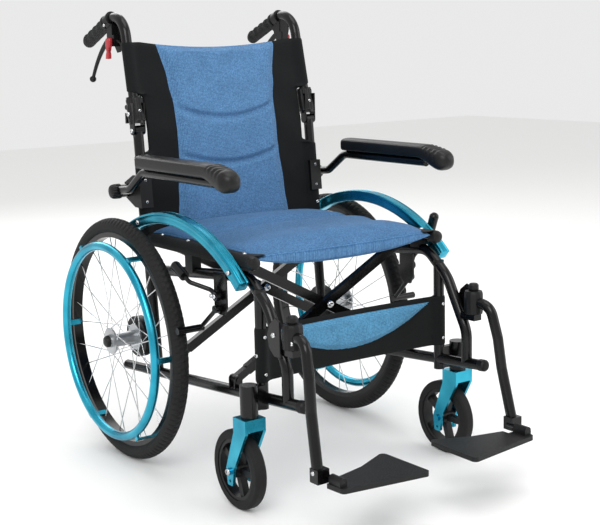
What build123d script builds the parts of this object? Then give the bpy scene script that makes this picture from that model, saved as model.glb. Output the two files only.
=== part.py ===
"""Folding manual wheelchair with attendant brakes and a half-folding back.

Millimetres. +Z is up, the front is -Y and the occupant's right is -X. The origin is on the ground,
under the middle of the chair's outline. Lengths named *_y with "axle" in mind are measured from the
rear axle by the function fore(), which places them in the chair's own frame.
"""
from build123d import *
import os
from math import asin, atan2, cos, degrees, hypot, pi, radians, sin, sqrt

os.makedirs("parts", exist_ok=True)

# ---- driving dimensions -------------------------------------------------------------------------
seat_half_width = 222.0        # side frame tube centre to the middle plane
wheel_radius = 260.0           # 20 inch rear wheel over its tyre
footplate_reach = 728.0        # rear axle to the front edge of the footplates
frame_tube_radius = 11.0
frame_tube_wall = 2.0
rail_height = 473.0            # seat rail centre above the ground
hinge_height = 700.0           # back fold axis above the ground
tyre_width = 34.0
tyre_depth = 24.0
running_clearance = 0.05       # radial, shaft in hole
part_gap = 0.5                 # between pieces that slide past each other

axle_y = (footplate_reach - wheel_radius) / 2


def fore(distance):
    """Y of a place so far behind the rear axle (negative is ahead of it)."""
    return axle_y + distance


frame_x = seat_half_width
tyre_x = frame_x + frame_tube_radius + 52.5       # tyre's middle plane
axle_z = wheel_radius

# ---- side frame ---------------------------------------------------------------------------------
lower_tube_rear = (fore(109), 171.0)
lower_tube_front = (fore(-576), 229.0)
tip_radius = 10.5              # the lower tube's rear end, turned down for a tipping-aid sleeve
tip_length = 90.0
upper_tube = [(fore(-16), 405.0), (fore(-405), 445.0), (fore(-466), 396.0), (fore(-524), 290.0)]
upper_bends = [50.0, 90.0, 60.0]
front_post_y = fore(-440)
hinge_y = fore(9)
post_foot = (fore(-35), 183.0)
axle_radius = 8.0
axle_plate_thickness = 6.0

# ---- caster -------------------------------------------------------------------------------------
caster_radius = 78.0
caster_width = 25.0
caster_trail = 39.0
swivel_x = frame_x + 40.0
swivel_y = fore(-453)
stem_radius = 8.0
housing_radius = 17.0
housing_bottom = 190.0
housing_top = 252.0
caster_axle_radius = 4.0
fork_gap = 17.0                # half the room between the fork legs
fork_leg = 6.0
fork_toe = 28.0                # the legs run on below the axle, with a second axle hole
spare_hole_radius = 3.0

# ---- cross brace --------------------------------------------------------------------------------
brace_low_z = 233.0            # lower pivots above the ground
brace_rows = [fore(-338), fore(-110)]
bar_height = 20.0
bar_thickness = 13.0
pivot_radius = 5.0
rail_x = frame_x + 4.0
rail_front = fore(-414)
rail_rear = fore(-48)

# ---- back ---------------------------------------------------------------------------------------
cane_lean_in = 4.0
cane_top = (fore(60), 955.0)
grip_end = (fore(234), 885.0)
handle_bend = 50.0
grip_length = 112.0
grip_radius = 16.0
upholstery_top = 884.0
upholstery_bottom = 500.0
upholstery_thickness = 12.0
hinge_cheek = 3.0

# ---- wheel --------------------------------------------------------------------------------------
rim_depth = 16.0
rim_width = 22.0
rim_wall = 3.0
spoke_count = 28
spoke_radius = 1.1
flange_radius = 28.0
hub_inner = tyre_x - 31.0
hub_outer = tyre_x + 31.0
handrim_radius = wheel_radius - 56.0
handrim_tube = 9.25
handrim_x = tyre_x + 35.5
handrim_clips = 6


def x_cylinder(radius, x_from, x_to, y, z):
    """A cylinder along X between two X values."""
    middle = (x_from + x_to) / 2
    return Pos(middle, y, z) * Rot(0, 90, 0) * Cylinder(radius, abs(x_to - x_from))


def y_cylinder(radius, x, y_from, y_to, z):
    middle = (y_from + y_to) / 2
    return Pos(x, middle, z) * Rot(90, 0, 0) * Cylinder(radius, abs(y_to - y_from))


def z_cylinder(radius, x, y, z_from, z_to):
    return Pos(x, y, (z_from + z_to) / 2) * Cylinder(radius, z_to - z_from)


def block(x_range, y_range, z_range):
    """A box given by its low and high value on each axis."""
    size = [high - low for low, high in (x_range, y_range, z_range)]
    middle = [(high + low) / 2 for low, high in (x_range, y_range, z_range)]
    return Pos(*middle) * Box(*size)


def rod(points, radius, bends=None):
    """A round bar along straight runs joined by tangent arcs."""
    if bends is None:
        path = Line(*points)
    else:
        path = FilletPolyline(*points, radius=bends)
    start = Plane(origin=path @ 0, z_dir=path % 0)
    return sweep(start * Circle(radius), path=path)


def side_plate(outline, x_from, x_to, corner=0.0):
    """A flat plate parallel to the side frame, from (y, z) points."""
    plane = Plane(origin=(x_from, 0, 0), x_dir=(0, 1, 0), z_dir=(1, 0, 0))
    face = make_face(Polyline(*outline, close=True))
    if corner > 0:
        face = fillet(face.vertices(), corner)
    return extrude(plane * face, amount=x_to - x_from)


def between(start, end, share):
    """The point that share of the way from start to end."""
    return tuple(a + (b - a) * share for a, b in zip(start, end))


def lower_tube_z(y):
    """Height of the lower side tube's centre line at a given Y."""
    share = (y - lower_tube_rear[0]) / (lower_tube_front[0] - lower_tube_rear[0])
    return between(lower_tube_rear, lower_tube_front, share)[1]


def lower_tube_point(distance):
    """Point on the lower side tube's centre line, a distance from its rear end."""
    run = hypot(lower_tube_front[0] - lower_tube_rear[0], lower_tube_front[1] - lower_tube_rear[1])
    return between(lower_tube_rear, lower_tube_front, distance / run)


def upper_tube_z(y):
    """Height of the upper side tube's centre line on its straight run."""
    share = (y - upper_tube[0][0]) / (upper_tube[1][0] - upper_tube[0][0])
    return between(upper_tube[0], upper_tube[1], share)[1]


def post_y(z):
    """Y of the rear post's centre line at a given height."""
    share = (z - post_foot[1]) / (hinge_height - post_foot[1])
    return post_foot[0] + (hinge_y - post_foot[0]) * share


# Every side_* function below builds the right-hand piece, on -X. The left one is its mirror image.
right = -1
tube_side = -(frame_x + frame_tube_radius)


def side_frame(lug_side):
    """Welded side: two long tubes, two posts, axle plate, caster housing and brace lugs.

    lug_side says which side of each brace row, along Y, this frame's own brace lies on.
    """
    x = -frame_x
    leg_foot = (upper_tube[-1][0], lower_tube_z(upper_tube[-1][0]))
    loop = [(x, y, z) for y, z in upper_tube + [leg_foot]]
    post_top = (x, hinge_y, hinge_height)
    runs = [
        ([(x, *lower_tube_rear), (x, *lower_tube_front)], None),
        (loop, upper_bends),
        ([(x, *post_foot), post_top], None),
        ([(x, front_post_y, upper_tube_z(front_post_y) - 22), (x, front_post_y, 196)], None),
    ]
    solid = None
    hollow = None
    for points, bends in runs:
        outer = rod(points, frame_tube_radius, bends)
        inner = rod(points, frame_tube_radius - frame_tube_wall, bends)
        solid = outer if solid is None else solid + outer
        hollow = inner if hollow is None else hollow + inner
    plug = 5.0
    keep = block((x - 20, x + 20), (lower_tube_front[0] + plug, lower_tube_rear[0] - plug),
                 (196 + plug, hinge_height - 25))
    low_keep = block((x - 20, x + 20), (lower_tube_front[0] + plug, lower_tube_rear[0] - plug),
                     (100, 215))
    low_cut = rod([(x, *lower_tube_rear), (x, *lower_tube_front)], frame_tube_radius - frame_tube_wall)
    solid = solid - (hollow & keep) - (low_cut & low_keep)
    turned = [(x, *lower_tube_point(-1)), (x, *lower_tube_point(tip_length))]
    solid -= rod(turned, frame_tube_radius + 1) - rod(turned, tip_radius)
    solid += x_cylinder(frame_tube_radius, x - 10, x + 10, hinge_y, hinge_height)
    solid -= block((x - 20, x - 10), (hinge_y - 30, hinge_y + 30), (hinge_height - 14, hinge_height + 20))
    solid -= block((x + 10, x + 20), (hinge_y - 30, hinge_y + 30), (hinge_height - 14, hinge_height + 20))
    solid -= x_cylinder(4 + running_clearance, x - 20, x + 20, hinge_y, hinge_height)
    # axle plate on the outside of the post
    plate = [(post_y(225) - 8, 225), (axle_y + 16, 240), (axle_y + 16, 280), (post_y(300) - 8, 300)]
    solid += side_plate(plate, tube_side - 2, tube_side - 2 + axle_plate_thickness)
    solid -= x_cylinder(axle_radius, tube_side - 10, x + 20, axle_y, axle_z)
    # caster housing and its web
    web = block((-swivel_x, x), (front_post_y - 12, front_post_y), (housing_bottom + 8, housing_top - 8))
    solid += web
    solid += z_cylinder(housing_radius, -swivel_x, swivel_y, housing_bottom, housing_top)
    bore = z_cylinder(stem_radius + running_clearance, -swivel_x, swivel_y, housing_bottom - 1,
                      housing_top - 8)
    solid -= bore
    # clevis lugs for the cross brace
    for row in brace_rows:
        middle = row + lug_side * (bar_thickness / 2 + part_gap)
        for edge in (-1, 1):
            near = middle + edge * (bar_thickness / 2 + part_gap)
            far = near + edge * 4.0
            low, high = min(near, far), max(near, far)
            foot = lower_tube_z(middle)
            solid += block((x - 9, x + 9), (low, high), (foot, brace_low_z))
            solid += y_cylinder(9, x, low, high, brace_low_z)
        solid += y_cylinder(pivot_radius, x, middle - bar_thickness / 2 - 6, middle + bar_thickness / 2 + 6,
                            brace_low_z)
    # receiver for the swing-away footrest: a lug with an upright pin
    lug_low = hanger_z - 12
    lug_y = (upper_tube[-1][0] + 8, hanger_y - 12)
    solid += block((x - 10, x + 10), (lug_y[1], lug_y[0]), (lug_low, hanger_z))
    solid += z_cylinder(6, x, hanger_y, lug_low, hanger_z + 34)
    return solid


hanger_y = fore(-544)
hanger_z = 330.0


def side_rail_saddles():
    """Plastic cradles on the upper side tube that the open seat rail rests in."""
    pieces = []
    for y in (fore(-376), fore(-200)):
        foot = upper_tube_z(y)
        cradle = block((-frame_x - 11, -frame_x + 10), (y - 14, y + 14), (foot, rail_height - 4))
        cradle -= y_cylinder(frame_tube_radius + part_gap, -rail_x, y - 20, y + 20, rail_height)
        tube = rod([(-frame_x, y - 20, upper_tube_z(y - 20)), (-frame_x, y + 20, upper_tube_z(y + 20))],
                   frame_tube_radius)
        pieces.append(cradle - tube)
    return pieces


fender_centre = (fore(-165), 150.0)
fender_outer = 395.0
fender_depth = 24.0
fender_x = (frame_x + 15.0, frame_x + 40.0)
fender_ends = (64.0, 133.0)     # degrees round the centre, from the rear


def side_fender():
    """Arched box extrusion above the tyre, open inside, with end caps and two bolts."""
    cy, cz = fender_centre
    plane = Plane(origin=(-fender_x[1], 0, 0), x_dir=(0, 1, 0), z_dir=(1, 0, 0))
    low, high = [radians(angle) for angle in fender_ends]
    middle = (low + high) / 2

    def arc(radius, start, end):
        points = [(cy + radius * cos(a), cz + radius * sin(a)) for a in (start, middle, end)]
        return ThreePointArc(*points)

    inner_radius = fender_outer - fender_depth
    outer_arc = arc(fender_outer, low, high)
    inner_arc = arc(inner_radius, high, low)
    edges = [outer_arc, Line(outer_arc @ 1, inner_arc @ 0), inner_arc, Line(inner_arc @ 1, outer_arc @ 0)]
    shell = extrude(plane * make_face(edges), amount=fender_x[1] - fender_x[0])
    return shell


def fender_bolts():
    """Spacers that hold the fender off the side frame, front and rear."""
    solids = []
    front = fore(-397)
    front_z = upper_tube_z(front) + 4
    reach = -fender_x[0]
    tube = rod([(-frame_x, front - 60, upper_tube_z(front - 60)), (-frame_x, front + 60, upper_tube_z(front + 60))],
               frame_tube_radius)
    solids.append(x_cylinder(5, reach, -frame_x - 6, front, front_z) - tube)
    return solids


bracket_z = (538.0, 606.0)
arm_pivot = (fore(40), 572.0)
arm_inner = frame_x + 15.5
arm_outer = frame_x + 50.0
pad_y = (fore(-432), fore(-78))
pad_z = (630.0, 658.0)
pad_x = (frame_x + 18.0, frame_x + 64.0)
arm_x = frame_x + 38.0


def side_armrest_bracket():
    """Clamp on the rear post with the armrest's pivot pin."""
    low, high = bracket_z
    outline = [(post_y(low) - 15, low), (post_y(low) + 14, low), (arm_pivot[0] + 14, 558),
               (arm_pivot[0] + 14, 588), (post_y(high) + 14, high), (post_y(high) - 15, high)]
    body = side_plate(outline, -frame_x - 14.5, -frame_x + 14)
    body -= rod([(-frame_x, post_y(low - 20), low - 20), (-frame_x, post_y(high + 20), high + 20)],
                frame_tube_radius)
    body += x_cylinder(5, -arm_outer + 4, -frame_x, *arm_pivot) & block((-400, -frame_x - 14), (-900, 900),
                                                                      (0, 900))
    return body


def side_armrest_arm():
    """Pivot barrel and bent tube that carries the pad."""
    y, z = arm_pivot
    barrel = x_cylinder(14, -arm_outer, -arm_inner, y, z)
    tube_top = pad_z[0] - 9.5
    path = [(-arm_x, y - 4, z + 2), (-arm_x, fore(-16), z + 8), (-arm_x, fore(-78), tube_top),
            (-arm_x, fore(-360), tube_top)]
    tube = rod(path, 9, [26.0, 40.0])
    body = barrel + tube
    body -= x_cylinder(5 + running_clearance, -arm_outer + 3.5, -arm_inner + 1, y, z)
    return body


def side_armrest_pad():
    """Long pad with rounded ends, screwed on the arm tube."""
    width = pad_x[1] - pad_x[0]
    length = pad_y[1] - pad_y[0]
    middle = (-(pad_x[0] + pad_x[1]) / 2, (pad_y[0] + pad_y[1]) / 2)
    outline = Pos(middle[0], middle[1], pad_z[0]) * RectangleRounded(width, length, 20)
    pad = extrude(outline, amount=pad_z[1] - pad_z[0])
    nose = Pos(middle[0], pad_y[0] + 15, pad_z[0] - 16) * RectangleRounded(width - 8, 30, 12)
    pad += extrude(nose, amount=20)
    return fillet(pad.faces().sort_by(Axis.Z)[-1].edges(), 6)


def side_hub_brake():
    """Fixed axle and the drum cover of the hub band brake, which the cable pulls."""
    drum_outer = -(hub_inner - part_gap)
    drum = x_cylinder(44, drum_outer, tube_side - 4, axle_y, axle_z)
    drum += block((tube_side - 9, tube_side - 4), (fore(20), fore(66)), (axle_z - 8, axle_z + 8))
    drum -= x_cylinder(axle_radius, drum_outer - 1, tube_side, axle_y, axle_z)
    shaft = x_cylinder(axle_radius, -(hub_outer + 7), -frame_x + 8, axle_y, axle_z)
    shaft -= x_cylinder(3, -(hub_outer + 8), -(hub_outer - 20), axle_y, axle_z)
    return drum + shaft


def ring(radius_out, radius_in, x_middle, width, corner=0.0):
    """A rectangular-section ring round the rear axle."""
    body = x_cylinder(radius_out, x_middle - width / 2, x_middle + width / 2, axle_y, axle_z)
    body -= x_cylinder(radius_in, x_middle - width, x_middle + width, axle_y, axle_z)
    return body


def side_tyre():
    """Rubber tyre with a rounded tread."""
    body = ring(wheel_radius, wheel_radius - tyre_depth, -tyre_x, tyre_width)
    outer = body.edges().filter_by(GeomType.CIRCLE).sort_by(lambda e: e.radius)[-2:]
    return fillet(outer, 12)


rim_outer = wheel_radius - tyre_depth


def side_rim():
    """Aluminium box rim."""
    body = ring(rim_outer, rim_outer - rim_depth, -tyre_x, rim_width)
    inner = rim_outer - rim_wall
    hollow = ring(inner, rim_outer - rim_depth + rim_wall, -tyre_x, rim_width - 2 * rim_wall)
    return body - hollow


def side_spokes():
    """Crossed spokes from the two hub flanges to the rim."""
    solids = []
    rim_reach = rim_outer - rim_depth + 1.5
    half = spoke_count // 2
    for number in range(spoke_count):
        inner_side = number % 2 == 0
        flange = -(hub_inner + 2.5) if inner_side else -(hub_outer - 2.5)
        turn = 1 if (number // 2) % 2 == 0 else -1
        rim_angle = 2 * pi * number / spoke_count
        hub_angle = rim_angle + turn * radians(66)
        hub_reach = flange_radius - 4
        start = (flange, axle_y + hub_reach * cos(hub_angle), axle_z + hub_reach * sin(hub_angle))
        at_rim = -tyre_x + (5 if inner_side else -5)
        end = (at_rim, axle_y + rim_reach * cos(rim_angle), axle_z + rim_reach * sin(rim_angle))
        solids.append(rod([start, end], spoke_radius))
    return solids


def side_hub():
    """Hub shell with two spoke flanges, turning on the axle."""
    body = x_cylinder(15, -hub_outer, -hub_inner, axle_y, axle_z)
    body += x_cylinder(flange_radius, -(hub_inner + 4), -hub_inner, axle_y, axle_z)
    body += x_cylinder(flange_radius, -hub_outer, -(hub_outer - 4), axle_y, axle_z)
    body += x_cylinder(14, -(hub_outer + 4), -hub_outer, axle_y, axle_z)
    body -= x_cylinder(axle_radius + running_clearance, -(hub_outer + 9), -hub_inner + 9, axle_y, axle_z)
    return body


def side_handrim():
    """Anodised handrim tube with its stand-off clips."""
    section = Plane(origin=(-handrim_x, axle_y, axle_z + handrim_radius), x_dir=(1, 0, 0), z_dir=(0, 1, 0))
    body = revolve(section * Circle(handrim_tube), Axis((0, axle_y, axle_z), (1, 0, 0)), 360)
    rim_inner = rim_outer - rim_depth
    for number in range(handrim_clips):
        clip = block((-handrim_x - 1.5, -(tyre_x - 4)), (-6, 6), (handrim_radius + 6, rim_inner + 1.0))
        clip -= block((-handrim_x + 4, -(tyre_x - 5)), (-7, 7), (handrim_radius + 5, rim_inner - 3))
        turned = Rot(360.0 * number / handrim_clips + 30, 0, 0) * clip
        body += Pos(0, axle_y, axle_z) * turned
    return body


caster_y = swivel_y + caster_trail
caster_z = caster_radius
fork_half = fork_gap + fork_leg


def side_caster_fork():
    """Forged fork with its stem and the bolt that the wheel turns on."""
    crown_low = housing_bottom - 24
    crown_high = housing_bottom - part_gap
    x = -swivel_x
    crown = block((x - fork_half, x + fork_half), (swivel_y - 20, swivel_y + 22), (crown_low, crown_high))
    outline = [(swivel_y - 20, crown_high), (swivel_y - 20, crown_high - 26), (caster_y - 13, caster_z + 4),
               (caster_y - 9, caster_z - fork_toe), (caster_y + 9, caster_z - fork_toe),
               (caster_y + 13, caster_z + 4),
               (swivel_y + 22, crown_high - 30), (swivel_y + 22, crown_high)]
    body = crown
    for low in (x - fork_half, x + fork_gap):
        body += side_plate(outline, low, low + fork_leg, 4)
    body += z_cylinder(stem_radius, x, swivel_y, crown_high - 1, housing_top - 10)
    body += x_cylinder(caster_axle_radius, x - fork_half, x + fork_half, caster_y, caster_z)
    body -= x_cylinder(spare_hole_radius, x - fork_half - 1, x + fork_half + 1, caster_y,
                       caster_z - fork_toe + 9)
    body += x_cylinder(7, x - fork_half - 4, x - fork_half, caster_y, caster_z)
    body += x_cylinder(7, x + fork_half, x + fork_half + 4, caster_y, caster_z)
    return body


caster_rim = 60.0


def side_caster_wheel():
    """Five-spoke moulded wheel."""
    x = -swivel_x
    hub_half = fork_gap - 1.0
    body = x_cylinder(15, x - hub_half, x + hub_half, caster_y, caster_z)
    rim = x_cylinder(caster_rim, x - 11, x + 11, caster_y, caster_z)
    rim -= x_cylinder(caster_rim - 7, x - 12, x + 12, caster_y, caster_z)
    body += rim
    for number in range(5):
        spoke = block((-7, 7), (-6.5, 6.5), (10, caster_rim - 4))
        body += Pos(x, caster_y, caster_z) * Rot(72 * number + 18, 0, 0) * spoke
    body -= x_cylinder(caster_axle_radius + running_clearance, x - 20, x + 20, caster_y, caster_z)
    return body


def side_caster_tyre():
    x = -swivel_x
    half = caster_width / 2
    body = x_cylinder(caster_radius, x - half, x + half, caster_y, caster_z)
    outer = body.edges().filter_by(GeomType.CIRCLE)
    body = fillet(outer, 7)
    return body - x_cylinder(caster_rim, x - 20, x + 20, caster_y, caster_z)


def cane_x(z):
    """X of the leaning-in back cane at a given height."""
    share = (z - hinge_height) / (cane_top[1] - hinge_height)
    return -(frame_x - cane_lean_in * share)


def cane_y(z):
    share = (z - hinge_height) / (cane_top[1] - hinge_height)
    return hinge_y + (cane_top[0] - hinge_y) * share


cane_foot_z = hinge_height + frame_tube_radius + 2.5
handle_slope = (grip_end[1] - cane_top[1]) / (grip_end[0] - cane_top[0])
handle_x = -(frame_x - cane_lean_in)


def handle_point(distance):
    """A point on the push handle, so far ahead of the grip's end."""
    run = hypot(1.0, handle_slope)
    y = grip_end[0] - distance / run
    return (handle_x, y, grip_end[1] - distance * handle_slope / run)


def side_back_cane():
    """Upper back tube, bent into the push handle, with its hinge cheeks and collar."""
    foot = (cane_x(cane_foot_z), cane_y(cane_foot_z), cane_foot_z)
    points = [foot, (handle_x, *cane_top), handle_point(4)]
    outer = rod(points, frame_tube_radius, [handle_bend])
    inner = rod(points, frame_tube_radius - frame_tube_wall, [handle_bend])
    keep = block((-400, 0), (-900, handle_point(12)[1]), (cane_foot_z + 30, 1200))
    body = outer - (inner & keep)
    low_x = -frame_x - frame_tube_radius - hinge_cheek
    for low in (low_x, -frame_x + frame_tube_radius):
        cheek = block((low, low + hinge_cheek), (hinge_y - 9, hinge_y + 9), (hinge_height, cane_foot_z + 45))
        cheek += x_cylinder(9, low, low + hinge_cheek, hinge_y, hinge_height)
        body += cheek
    body += x_cylinder(4, low_x, -frame_x + frame_tube_radius + hinge_cheek, hinge_y, hinge_height)
    collar_foot = (cane_x(cane_foot_z), cane_y(cane_foot_z), cane_foot_z)
    collar_top_z = cane_foot_z + 56
    body += rod([collar_foot, (cane_x(collar_top_z), cane_y(collar_top_z), collar_top_z)], 16.5)
    ear_y = cane_y(latch_z)
    for low in (-frame_x - 8.5, -frame_x + 4.5):
        body += block((low, low + 4), (ear_y, ear_y + latch_offset), (latch_z - 5, latch_z + 5))
        body += x_cylinder(5, low, low + 4, ear_y + latch_offset, latch_z)
    body += x_cylinder(2.5, -frame_x - 8.5, -frame_x + 8.5, ear_y + latch_offset, latch_z)
    return body


latch_z = 748.0
latch_offset = 24.0
latch_reach = 34.0               # short enough to pass the rear post when the back folds down


def side_back_latch():
    """Release paddle behind the hinge collar."""
    y = cane_y(latch_z) + latch_offset
    body = block((-frame_x - 4, -frame_x + 4), (y - 4, y + 4), (latch_z - 4, latch_z + 4))
    body += block((-frame_x - 4, -frame_x + 4), (y - 1, y + 4), (latch_z - latch_reach + 4, latch_z + 12))
    body += block((-frame_x - 9, -frame_x + 9), (y - 1, y + 4), (latch_z - latch_reach, latch_z - 12))
    body -= x_cylinder(2.5 + running_clearance, -frame_x - 10, -frame_x + 10, y, latch_z)
    return body


def side_push_grip():
    """Grip sleeve pushed over the end of the handle."""
    end = handle_point(-2)
    start = handle_point(grip_length)
    sleeve = rod([start, end], grip_radius)
    return sleeve - rod([handle_point(grip_length + 20), handle_point(4)], frame_tube_radius)


brake_clamp = 126.0              # handle distance of the brake clamp from the grip's end
lever_drop = 30.0
lever_pin = 3.0


def brake_pivot():
    """Lever pivot: hangs under the handle at the clamp."""
    x, y, z = handle_point(brake_clamp)
    return (x, y - 4, z - lever_drop)


tab_offset = (-12.0, -18.0)
tab_pin = 2.5


def side_brake_bracket():
    """Clamp round the handle with two cheeks that hold the brake lever."""
    ring_part = rod([handle_point(brake_clamp + 9), handle_point(brake_clamp - 9)], 16)
    x, y, z = brake_pivot()
    cheeks = block((x - 8, x + 8), (y - 14, y + 10), (z - 9, z + 22))
    cheeks += block((x - 8, x + 8), (y - 22, y - 2), (z - 26, z - 2))
    body = ring_part + cheeks
    body -= rod([handle_point(brake_clamp + 40), handle_point(brake_clamp - 40)], frame_tube_radius)
    body -= block((x - 3.5, x + 3.5), (y - 9, y + 30), (z - 40, z + 16))
    body += x_cylinder(lever_pin, x - 8, x + 8, y, z)
    body += x_cylinder(tab_pin, x - 14, x - 7, y + tab_offset[0], z + tab_offset[1])
    return body


def side_brake_lever():
    """Bent lever under the grip, with a ball at its end."""
    x, y, z = brake_pivot()
    path = [(x, y, z), (x, y + 26, z - 14), (x, y + 66, z - 62), (x, y + 100, z - 92)]
    body = rod(path, 2.8, [30.0, 60.0])
    body += x_cylinder(7, x - 3.2, x + 3.2, y, z)
    body += Pos(*path[-1]) * Sphere(6.5)
    return body - x_cylinder(lever_pin + running_clearance, x - 5, x + 5, y, z)


def side_lock_tab():
    """Small parking tab on the outside of the brake bracket."""
    x, y, z = brake_pivot()
    py, pz = y + tab_offset[0], z + tab_offset[1]
    low = x - 8 - part_gap - 4
    outline = [(py - 7, pz + 7), (py + 6, pz + 7), (py + 10, pz - 10), (py + 4, pz - 30), (py - 6, pz - 30),
               (py - 4, pz - 10)]
    body = side_plate(outline, low, low + 4, 2.5)
    return body - x_cylinder(tab_pin + running_clearance, low - 3, low + 6, py, pz)


cable_radius = 2.5


def cable_route():
    """Brake cable from the bracket to the back of the cane."""
    x, y, z = brake_pivot()
    start = (x + 0, y - 22, z - 14)
    return [start, (x, y - 38, z - 20), (x, y - 52, z - 40), (x, y - 55, z - 66), (x, cane_y(z - 90), z - 84)]


def side_brake_cable():
    """Sheathed cable that dives into the hollow cane through a hole."""
    points = cable_route()
    cable = rod(points, cable_radius, [16.0, 30.0, 20.0])
    keep = rod([(cane_x(700), cane_y(700), 700), (cane_x(950), cane_y(950), 950)], frame_tube_radius)
    return cable - keep


hanger_path = [(-frame_x, hanger_y, 358.0), (-frame_x - 4, fore(-588), 350.0),
               (-frame_x - 9, fore(-604), 290.0), (-frame_x - 12, fore(-612), 230.0),
               (-frame_x - 18, fore(-637), 122.0)]
plate_hinge = (-frame_x - 4.0, 121.0)
plate_thickness = 9.0
plate_knuckle = (fore(-693), fore(-660))


def side_footrest_hanger():
    """Swing-away hanger: barrel on the frame's pin, bent tube and the footplate's pivot pin."""
    x = -frame_x
    barrel = z_cylinder(13.5, x, hanger_y, hanger_z + part_gap, hanger_z + 40)
    body = barrel + rod(hanger_path, 10.5, [28.0, 60.0, 60.0])
    body -= z_cylinder(6 + running_clearance, x, hanger_y, hanger_z - 2, hanger_z + 35)
    foot_x, foot_y, foot_z = hanger_path[-1]
    body += block((foot_x - 11, foot_x + 15), (foot_y - 14, foot_y + 10), (foot_z - 12, foot_z + 14))
    body += y_cylinder(4, plate_hinge[0], plate_knuckle[0], foot_y, plate_hinge[1])
    return body


def side_footplate():
    """Textured plate that hinges up on the hanger's pin."""
    hx, hz = plate_hinge
    top = hz - 8.0
    outline = [(-frame_x - 16, fore(-652)), (-frame_x - 12, fore(-702)), (-54, fore(-footplate_reach)),
               (-57, fore(-591)), (-frame_x + 86, fore(-628))]
    face = fillet(make_face(Polyline(*outline, close=True)).vertices(), 9)
    body = extrude(Pos(0, 0, top - plate_thickness) * face, amount=plate_thickness)
    body += y_cylinder(8, hx, *plate_knuckle, hz)
    body += block((hx - 8, hx + 8), plate_knuckle, (top - 1, hz))
    low, high = plate_knuckle
    foot_y = hanger_path[-1][1]
    body -= block((-frame_x - 40, -frame_x + 16), (low - 40 + (high - low) + 40.5, foot_y + 20), (90, 140))
    return body - y_cylinder(4 + running_clearance, hx, low - 2, high + 2, hz)


lock_pivot = (fore(-325), 398.0)
lock_x = frame_x + 24.0
lock_handle_x = frame_x + 54.0
lock_rod = 4.5
lock_length = 112.0
lock_back = 64.0                 # lever angle behind upright when locked
lock_front = 21.0                # lever angle ahead of upright when free
shoe_pivot = (fore(-322), 372.0)
shoe_radius = 7.0
shoe_gap = 0.8                   # left between shoe and tyre when locked
shoe_swing = 9.0


def turned(point, centre, angle):
    """A (y, z) point turned about a centre; a positive angle takes +Y towards +Z."""
    y, z = point[0] - centre[0], point[1] - centre[1]
    c, s = cos(radians(angle)), sin(radians(angle))
    return (centre[0] + y * c - z * s, centre[1] + y * s + z * c)


def shoe_centre():
    """The locked shoe: on the ray from the axle, just clear of the tyre."""
    reach = wheel_radius + shoe_gap + shoe_radius
    angle = radians(166)
    return (axle_y + reach * cos(angle), axle_z + reach * sin(angle))


def side_lock_plate():
    """Bracket under the upper side tube that holds the wheel lock's two pivots."""
    y = lock_pivot[0]
    tube = upper_tube_z(y)
    outline = [(y - 20, tube + 6), (y + 24, tube + 6), (y + 24, 376), (y + 10, 360), (y - 10, 360),
               (y - 20, 376)]
    plate = side_plate(outline, tube_side - 4, tube_side)
    plate += x_cylinder(4, -lock_x - 6, tube_side - 2, *lock_pivot)
    plate += x_cylinder(4, -lock_x - 6, tube_side - 2, *shoe_pivot)
    return plate


def lock_lever(lean):
    """Lever with its knob; lean is the angle behind upright."""
    y, z = lock_pivot
    x = -lock_x
    along = (sin(radians(lean)), cos(radians(lean)))
    knee = (x, y + 22 * along[0], z + 22 * along[1])
    end = (-lock_handle_x, y + lock_length * along[0], z + lock_length * along[1])
    neck = (-lock_handle_x, y + 56 * along[0], z + 56 * along[1])
    body = rod([(x, y, z), knee, neck, end], lock_rod, [14.0, 14.0])
    grip_start = between(neck, end, 0.35)
    body += rod([grip_start, end], 10) + Pos(*end) * Sphere(10.2)
    body += x_cylinder(9, x - 5, x + 5, y, z)
    return body - x_cylinder(4 + running_clearance, x - 12, x + 12, y, z)


def lock_shoe(open_angle):
    """Arm and cross pin that presses on the tyre; open_angle swings it clear."""
    y, z = shoe_pivot
    x = -lock_x
    tip = turned(shoe_centre(), shoe_pivot, -open_angle)
    body = rod([(x, y, z), (x, *tip)], lock_rod)
    body += x_cylinder(8, x - 5, x + 5, y, z)
    body += x_cylinder(shoe_radius, -(tyre_x + 14), x + 5.5, *tip)
    return body - x_cylinder(4 + running_clearance, x - 12, x + 12, y, z)


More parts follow.
